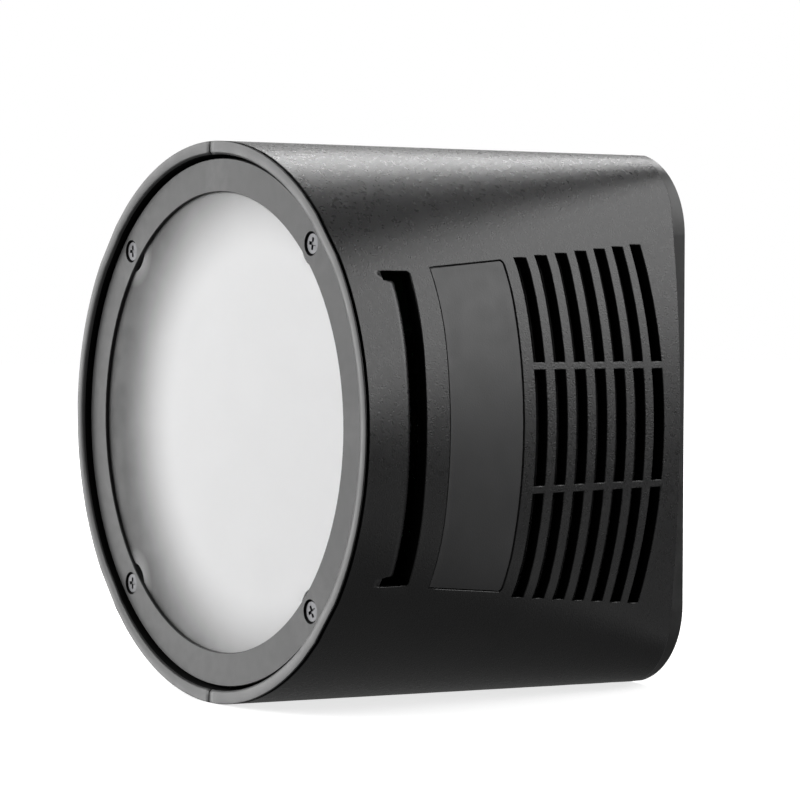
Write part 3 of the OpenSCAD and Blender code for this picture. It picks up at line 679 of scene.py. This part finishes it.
class Finish:
    """A node material on a Principled shader, with textures laid out in millimetres."""

    def __init__(self, name, **values):
        self.material = bpy.data.materials.new(name)
        self.material.use_nodes = True
        self.tree = self.material.node_tree
        self.shader = self.tree.nodes["Principled BSDF"]
        self.coordinates = self.tree.nodes.new("ShaderNodeTexCoord").outputs["Object"]
        self.base = None
        self.height = None
        for socket, value in values.items():
            self.shader.inputs[socket.replace("_", " ")].default_value = value

    def node(self, kind, **inputs):
        node = self.tree.nodes.new(kind)
        for socket, value in inputs.items():
            self.feed(value, node.inputs[socket.replace("_", " ")])
        return node

    def feed(self, value, socket):
        if isinstance(value, bpy.types.NodeSocket):
            self.tree.links.new(value, socket)
        else:
            socket.default_value = value

    def noise(self, size_mm, detail=2.0, stretch=(1, 1, 1)):
        """Noise whose blotches are about size_mm across."""
        in_mm = tuple(share / MM for share in stretch)
        mapping = self.node("ShaderNodeMapping", Vector=self.coordinates, Scale=in_mm)
        node = self.node("ShaderNodeTexNoise", Vector=mapping.outputs["Vector"],
                         Scale=1 / size_mm, Detail=detail)
        return node.outputs["Fac"]

    def cells(self, size_mm):
        """Rounded cells about size_mm across, high in the middle."""
        mapping = self.node("ShaderNodeMapping", Vector=self.coordinates, Scale=(1 / MM,) * 3)
        node = self.node("ShaderNodeTexVoronoi", Vector=mapping.outputs["Vector"], Scale=1 / size_mm)
        node.feature = "SMOOTH_F1"
        return node.outputs["Distance"]

    def spread(self, value, low, high, from_low=0.3, from_high=0.7):
        """A value from one range spread over another, and held at both ends."""
        node = self.node("ShaderNodeMapRange", Value=value)
        node.inputs["From Min"].default_value = from_low
        node.inputs["From Max"].default_value = from_high
        node.inputs["To Min"].default_value = low
        node.inputs["To Max"].default_value = high
        return node.outputs["Result"]

    def times(self, a, b):
        node = self.node("ShaderNodeMath", Value=a)
        node.operation = "MULTIPLY"
        self.feed(b, node.inputs[1])
        return node.outputs["Value"]

    def blend(self, value, low_colour, high_colour):
        """A colour between two others, as a value goes from 0 to 1."""
        node = self.tree.nodes.new("ShaderNodeMix")
        node.data_type = "RGBA"
        colours = [s for s in node.inputs if s.type == "RGBA"]
        self.feed(value, node.inputs[0])
        self.feed(low_colour, colours[0])
        self.feed(high_colour, colours[1])
        return [s for s in node.outputs if s.type == "RGBA"][0]

    def distance(self, vector, point_mm):
        node = self.node("ShaderNodeVectorMath", Vector=vector)
        node.operation = "DISTANCE"
        node.inputs[1].default_value = tuple(value * MM for value in point_mm)
        return node.outputs["Value"]

    def paint(self, base):
        """Sets the base colour, which a later layer can blend into."""
        self.base = base
        self.feed(base, self.shader.inputs["Base Color"])
        return self

    def colour(self, low, high, size_mm):
        """Base colour that drifts between two greys or colours."""
        drift = self.spread(self.noise(size_mm, 3), 0, 1)
        return self.paint(self.blend(drift, rgba(low), rgba(high)))

    def worn(self, colour, start=0.53, end=0.6):
        """Lighter colour on the outer edges, broken up by noise."""
        edge = self.spread(self.tree.nodes.new("ShaderNodeNewGeometry").outputs["Pointiness"],
                           0, 1, start, end)
        return self.paint(self.blend(self.times(edge, self.noise(1.5)), self.base, rgba(colour)))

    def rough(self, low, high, size_mm):
        self.feed(self.spread(self.noise(size_mm), low, high), self.shader.inputs["Roughness"])
        return self

    def bump(self, height, depth_mm):
        """Adds one layer of relief."""
        node = self.node("ShaderNodeBump", Height=height, Distance=depth_mm * MM, Strength=1.0)
        if self.height is not None:
            self.feed(self.height, node.inputs["Normal"])
        self.height = node.outputs["Normal"]
        self.feed(self.height, self.shader.inputs["Normal"])
        return self


def rgba(colour):
    """A grey level or a colour as four numbers."""
    if isinstance(colour, (int, float)):
        colour = (colour, colour, colour)
    return (*colour, 1.0)


def plain_plastic(name, grey, rough, grain_mm=0.25, relief_mm=0.004):
    made = Finish(name).colour(grey * 0.85, grey * 1.15, 5).rough(rough - 0.05, rough + 0.05, 3)
    return made.bump(made.noise(grain_mm), relief_mm).worn(grey * 2.2)


def grained_plastic(name):
    """Fine moulding grain whose pits are a little darker."""
    made = Finish(name, Specular_IOR_Level=0.5)
    made.colour((0.014, 0.014, 0.0145), (0.019, 0.019, 0.0195), 7).rough(0.26, 0.31, 0.8)
    grain = made.noise(0.2, 1.5)
    made.paint(made.blend(made.spread(grain, 0.6, 0), made.base, rgba(0.003)))
    made.bump(grain, 0.035)
    return made.worn(0.045)


def coated_steel(name, grey):
    made = Finish(name, Specular_IOR_Level=0.3)
    made.colour(grey * 0.92, grey * 1.08, 4).rough(0.32, 0.4, 1.4)
    return made.bump(made.noise(0.18), 0.004).worn(grey * 2)


def bare_metal(name, colour, rough, brushed=(1, 1, 1)):
    low = tuple(0.9 * c for c in colour)
    made = Finish(name, Metallic=1.0)
    made.colour(low, colour, 1.5).rough(rough - 0.06, rough + 0.08, 0.6)
    return made.bump(made.noise(0.12, 2, brushed), 0.003)


# The glass's colour holds painted shade: bright round a point at GLASS_BRIGHT_X and darkening softly away
# from it, so most at its -X edge, in place of the ring's shadow. It also has a little painted shade round
# each screw boss.
GLASS_BRIGHT_X = 10.4
GLASS_BRIGHT_R = 22.5
GLASS_DARK_R = 38.2
GLASS_BOSS_SHADE_R = (2.9, 5.2)
GLASS_BOSS_SHADE = 0.68


def frosted_glass(name):
    made = Finish(name, Subsurface_Weight=0.35, Subsurface_Scale=0.002, Specular_IOR_Level=0.4)
    made.shader.inputs["Subsurface Radius"].default_value = (1.0, 1.0, 1.0)
    made.colour((0.855, 0.855, 0.86), (0.87, 0.87, 0.875), 9).rough(0.5, 0.6, 2)
    in_plane = made.node("ShaderNodeVectorMath", Vector=made.coordinates)
    in_plane.operation = "MULTIPLY"
    in_plane.inputs[1].default_value = (1, 0, 1)
    reach = made.distance(in_plane.outputs[0], (GLASS_BRIGHT_X, 0, 0))
    painted_shade = made.spread(reach, 0, 1, GLASS_BRIGHT_R * MM, GLASS_DARK_R * MM)
    painted_shade.node.interpolation_type = "SMOOTHSTEP"
    for x in (-SCREW_XZ, SCREW_XZ):
        for z in (-SCREW_XZ, SCREW_XZ):
            near = made.distance(in_plane.outputs[0], (x, 0, z))
            boss_shade = made.spread(near, GLASS_BOSS_SHADE, 1, *(r * MM for r in GLASS_BOSS_SHADE_R))
            painted_shade = made.times(painted_shade, boss_shade)
    # Painted shade: the colour blends towards near black by the mask above.
    made.paint(made.blend(painted_shade, made.base, rgba(0.065)))
    return made.bump(made.noise(0.15), 0.004)


def label_film(name):
    made = Finish(name, Specular_IOR_Level=0.5)
    made.colour((0.043, 0.043, 0.044), (0.052, 0.052, 0.053), 8).rough(0.36, 0.44, 2.5)
    return made.bump(made.noise(0.22), 0.012).worn(0.12)


def circuit_board(name):
    made = Finish(name)
    tracks = made.spread(made.cells(1.6), 0, 1, 0.30, 0.36)
    made.paint(made.blend(tracks, rgba((0.010, 0.075, 0.030)), rgba((0.02, 0.13, 0.05))))
    return made.rough(0.3, 0.42, 2).bump(tracks, 0.02)


def clear_quartz(name):
    made = Finish(name, Transmission_Weight=0.85, IOR=1.46)
    made.colour((0.86, 0.89, 0.9), (0.93, 0.95, 0.95), 4).rough(0.02, 0.07, 3)
    return made.bump(made.noise(1.2), 0.01)


def wound(name, colour, rough):
    made = Finish(name).colour(tuple(0.8 * c for c in colour), colour, 2).rough(rough, rough + 0.12, 1)
    return made.bump(made.noise(0.3), 0.02)


def finishes_of(recipe, values_by_name):
    """One finish for each name, all from the same recipe."""
    return {name: recipe(name, *values) for name, values in values_by_name.items()}


FINISHES = {
    "label_film": label_film("label_film"),
    "frosted_glass": frosted_glass("frosted_glass"),
    "coated_steel": coated_steel("coated_steel", 0.037),
    "green_board": circuit_board("green_board"),
    "quartz": clear_quartz("quartz"),
}
FINISHES |= finishes_of(bare_metal, {
    "screw_steel": ((0.11, 0.11, 0.115), 0.36),
    "hook_steel": ((0.55, 0.55, 0.56), 0.3, (6, 1, 1)),
    "aluminium": ((0.82, 0.82, 0.83), 0.25),
    "brass": ((0.70, 0.52, 0.24), 0.3),
    "gold": ((0.86, 0.62, 0.25), 0.22),
    "nickel": ((0.62, 0.60, 0.56), 0.25),
})
FINISHES |= finishes_of(plain_plastic, {
    "rubber": (0.02, 0.75),
    "inner_plastic": (0.018, 0.6),
    "frame_plastic": (0.022, 0.34, 0.2, 0.01),
    "block_plastic": (0.025, 0.45),
    "silicone": (0.72, 0.6),
    "white_board": (0.76, 0.35),
    "black_film": (0.006, 0.8),
    "sensor_epoxy": (0.02, 0.35),
})
FINISHES |= finishes_of(wound, {
    "phosphor": ((0.85, 0.66, 0.18), 0.5),
    "red_lead": ((0.5, 0.03, 0.02), 0.45),
    "winding": ((0.06, 0.055, 0.05), 0.5),
    "sleeve": ((0.04, 0.06, 0.2), 0.3),
})
rim_finish = plain_plastic("rim_plastic", 0.041, 0.34, 0.2, 0.006)
body_finish = grained_plastic("body_plastic")
# A near-black copy of the plastic with little gloss: painted shade for the openings, the groove, the bore
# and the inner skin.
opening_shade_finish = plain_plastic("opening_painted_shade", 0.004, 0.8)
opening_shade_finish.shader.inputs["Specular IOR Level"].default_value = 0.1

NODE_FINISHES = {
    "coated_steel": ["front_ring"],
    "screw_steel": ["ring_screws", "rear_screws", "lamp_screws"],
    "frosted_glass": ["diffuser_glass"],
    "rubber": ["glass_gasket"],
    "inner_plastic": ["front_carrier"],
    "aluminium": ["reflector", "tube_caps", "heat_sink"],
    "quartz": ["flash_tube"],
    "silicone": ["tube_clips"],
    "nickel": ["trigger_wire", *(f"signal_spring_{i}" for i in range(1, 5))],
    "red_lead": ["tube_leads", "power_leads"],
    "white_board": ["lamp_board"],
    "phosphor": ["lamp_leds"],
    "brass": ["sink_posts"],
    "green_board": ["driver_board", "contact_board"],
    "winding": ["trigger_transformer"],
    "sleeve": ["trigger_capacitor"],
    "sensor_epoxy": ["thermal_sensor"],
    "black_film": ["baffle_right", "baffle_left"],
    "frame_plastic": ["rear_frame"],
    "hook_steel": ["latch_hooks"],
    "block_plastic": ["contact_block"],
    "gold": ["power_pins", *(f"signal_pin_{i}" for i in range(1, 5))],
}


def dress(piece, *finishes):
    """Puts finishes in a piece's material slots without losing which face uses which slot."""
    slots = piece.data.materials
    for index, finish in enumerate(finishes):
        if index < len(slots):
            slots[index] = finish.material
        else:
            slots.append(finish.material)


def soften(node, width_mm):
    """Small rounded edges on a CAD node, so that they catch light."""
    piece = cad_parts[node]
    bevel = piece.modifiers.new("soft_edges", "BEVEL")
    bevel.width = width_mm * MM
    bevel.segments = 2
    bevel.limit_method = "ANGLE"
    bevel.angle_limit = math.radians(40)
    bevel.harden_normals = True


# ---------- pieces ----------

for finish_name, nodes in NODE_FINISHES.items():
    for node_name in nodes:
        dress(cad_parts[node_name], FINISHES[finish_name])

shells = {"shell_right": (1, True), "shell_left": (-1, False)}
for node_name, (side, labelled) in shells.items():
    skin = shell_mesh(node_name + "_skin", side, labelled)
    dress(skin, rim_finish, body_finish, opening_shade_finish)
    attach(skin, BODY)
    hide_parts(node_name)

film = label_mesh("label_sheet")
dress(film, FINISHES["label_film"])
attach(film, BODY)
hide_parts("label_plate")

soft_widths = {"rear_frame": 0.1, "latch_hooks": 0.15, "contact_block": 0.15}
for node_name, width in soft_widths.items():
    soften(node_name, width)

# ---------- stage ----------

# In metres
FLOOR_HALF = 3.0
DOME_R = 4.0
GLOW_FROM = 0.1
GLOW_TO = 0.6


def flat_white(name, near_glow, far_glow, base):
    """White that glows more with distance, so that the floor meets the backdrop with no line."""
    made = Finish(name, Specular_IOR_Level=0.0)
    made.shader.inputs["Emission Color"].default_value = rgba(1.0)
    length = made.node("ShaderNodeVectorMath", Vector=made.coordinates)
    length.operation = "LENGTH"
    strength = made.spread(length.outputs["Value"], near_glow, far_glow, GLOW_FROM, GLOW_TO)
    made.feed(strength, made.shader.inputs["Emission Strength"])
    return made.colour(base, base * 1.02, 400).rough(0.9, 1.0, 300)


def stage_piece(name, mesh, finish):
    """Scenery that shows to the camera and adds no bounced light to the head."""
    piece = make_object(name, mesh)
    dress(piece, finish)
    piece.visible_glossy = False
    piece.visible_diffuse = False
    piece.visible_transmission = False
    return piece


floor_mesh = bmesh.new()
bmesh.ops.create_grid(floor_mesh, x_segments=8, y_segments=8, size=FLOOR_HALF,
                      matrix=Matrix.Translation((0, 0, cad_bounds[0].z)))
stage_piece("floor", floor_mesh, flat_white("floor_white", 0.75, 1.0, 0.8))

dome_mesh = bmesh.new()
bmesh.ops.create_icosphere(dome_mesh, subdivisions=4, radius=DOME_R)
dome = stage_piece("backdrop", dome_mesh, flat_white("backdrop_white", 1.0, 1.0, 0.0))
dome.visible_shadow = False

# ---------- camera ----------

# Fitted to the front circle, the ring's screws and the outlines in the photo. The eye is DISTANCE
# away from AIM, and is then shifted in the picture's plane. Angles are in degrees.
AZIMUTH = 55.4584
ELEVATION = 1.4884
ROLL = 0.1811
DISTANCE = 391.314
AIM_DEPTH = 30.0
AIM = Vector((0.0, FRONT_Y + AIM_DEPTH, 0.0))
SHIFT_RIGHT = 1.0454
SHIFT_UP = 2.6898
SENSOR_MM = 36
FOCAL_MM = 124.55


def direction(azimuth, elevation):
    """Unit vector away from the head. Azimuth 0 is in front of it, and 90 on its label side."""
    a, e = math.radians(azimuth), math.radians(elevation)
    return Vector((math.sin(a) * math.cos(e), -math.cos(a) * math.cos(e), math.sin(e)))


turn, roll = math.radians(AZIMUTH), math.radians(ROLL)
back = direction(AZIMUTH, ELEVATION)
level_right = Vector((math.cos(turn), math.sin(turn), 0))
level_up = back.cross(level_right)
right = level_right * math.cos(roll) + level_up * math.sin(roll)
up = level_up * math.cos(roll) - level_right * math.sin(roll)
eye = AIM + back * DISTANCE + right * SHIFT_RIGHT + up * SHIFT_UP

lens = bpy.data.cameras.new("camera")
lens.sensor_width = SENSOR_MM
lens.lens = FOCAL_MM
lens.clip_start, lens.clip_end = 0.01, 20
camera = bpy.data.objects.new("camera", lens)
camera.matrix_world = Matrix((right, up, back)).transposed().to_4x4()
camera.location = eye * MM
bpy.context.scene.collection.objects.link(camera)
bpy.context.scene.camera = camera

# ---------- light ----------


def softbox(name, azimuth, elevation, distance, width, height, radiance):
    """An area light that faces the head."""
    away = direction(azimuth, elevation)
    data = bpy.data.lights.new(name, "AREA")
    data.shape = "RECTANGLE"
    data.size, data.size_y = width, height
    data.energy = radiance * math.pi * width * height
    light = bpy.data.objects.new(name, data)
    light.location = AIM * MM + away * distance
    light.rotation_mode = "QUATERNION"
    light.rotation_quaternion = away.to_track_quat("Z", "Y")
    light.visible_camera = False
    bpy.context.scene.collection.objects.link(light)


softbox("key_left", -56, 6, 1.0, 1.0, 1.1, 3.2)
softbox("front_fill", -14, 25, 1.2, 0.8, 0.7, 3.8)
softbox("side_box", 151, 28, 1.1, 1.0, 1.0, 2.95)
softbox("strip_behind", 219, 43, 1.1, 0.55, 0.17, 9.0)
softbox("sweep_behind", 234, 16, 1.3, 1.4, 0.6, 0.6)


def world_light():
    """The light that a pale floor throws up, brightest in a low patch behind the label side."""
    world = bpy.data.worlds.new("world")
    world.use_nodes = True
    nodes, links = world.node_tree.nodes, world.node_tree.links
    heading = nodes.new("ShaderNodeTexCoord").outputs["Generated"]

    def ramp(source, low, high, at_low, at_high):
        node = nodes.new("ShaderNodeMapRange")
        node.interpolation_type = "SMOOTHSTEP"
        limits = {"From Min": low, "From Max": high, "To Min": at_low, "To Max": at_high}
        for socket, value in limits.items():
            node.inputs[socket].default_value = value
        links.new(source, node.inputs["Value"])
        return node.outputs["Result"]

    split = nodes.new("ShaderNodeSeparateXYZ")
    links.new(heading, split.inputs[0])
    toward_patch = nodes.new("ShaderNodeVectorMath")
    toward_patch.operation = "DOT_PRODUCT"
    toward_patch.inputs[1].default_value = direction(147, -21)
    links.new(heading, toward_patch.inputs[0])
    strength = nodes.new("ShaderNodeMath")
    links.new(ramp(split.outputs["Z"], -0.4, 0.05, 0.17, 0.03), strength.inputs[0])
    links.new(ramp(toward_patch.outputs["Value"], 0.95, 0.99, 0.0, 0.26), strength.inputs[1])
    sky = nodes["Background"]
    sky.inputs["Color"].default_value = rgba(1.0)
    links.new(strength.outputs[0], sky.inputs["Strength"])
    return world


bpy.context.scene.world = world_light()
bpy.context.scene.view_settings.view_transform = "Standard"
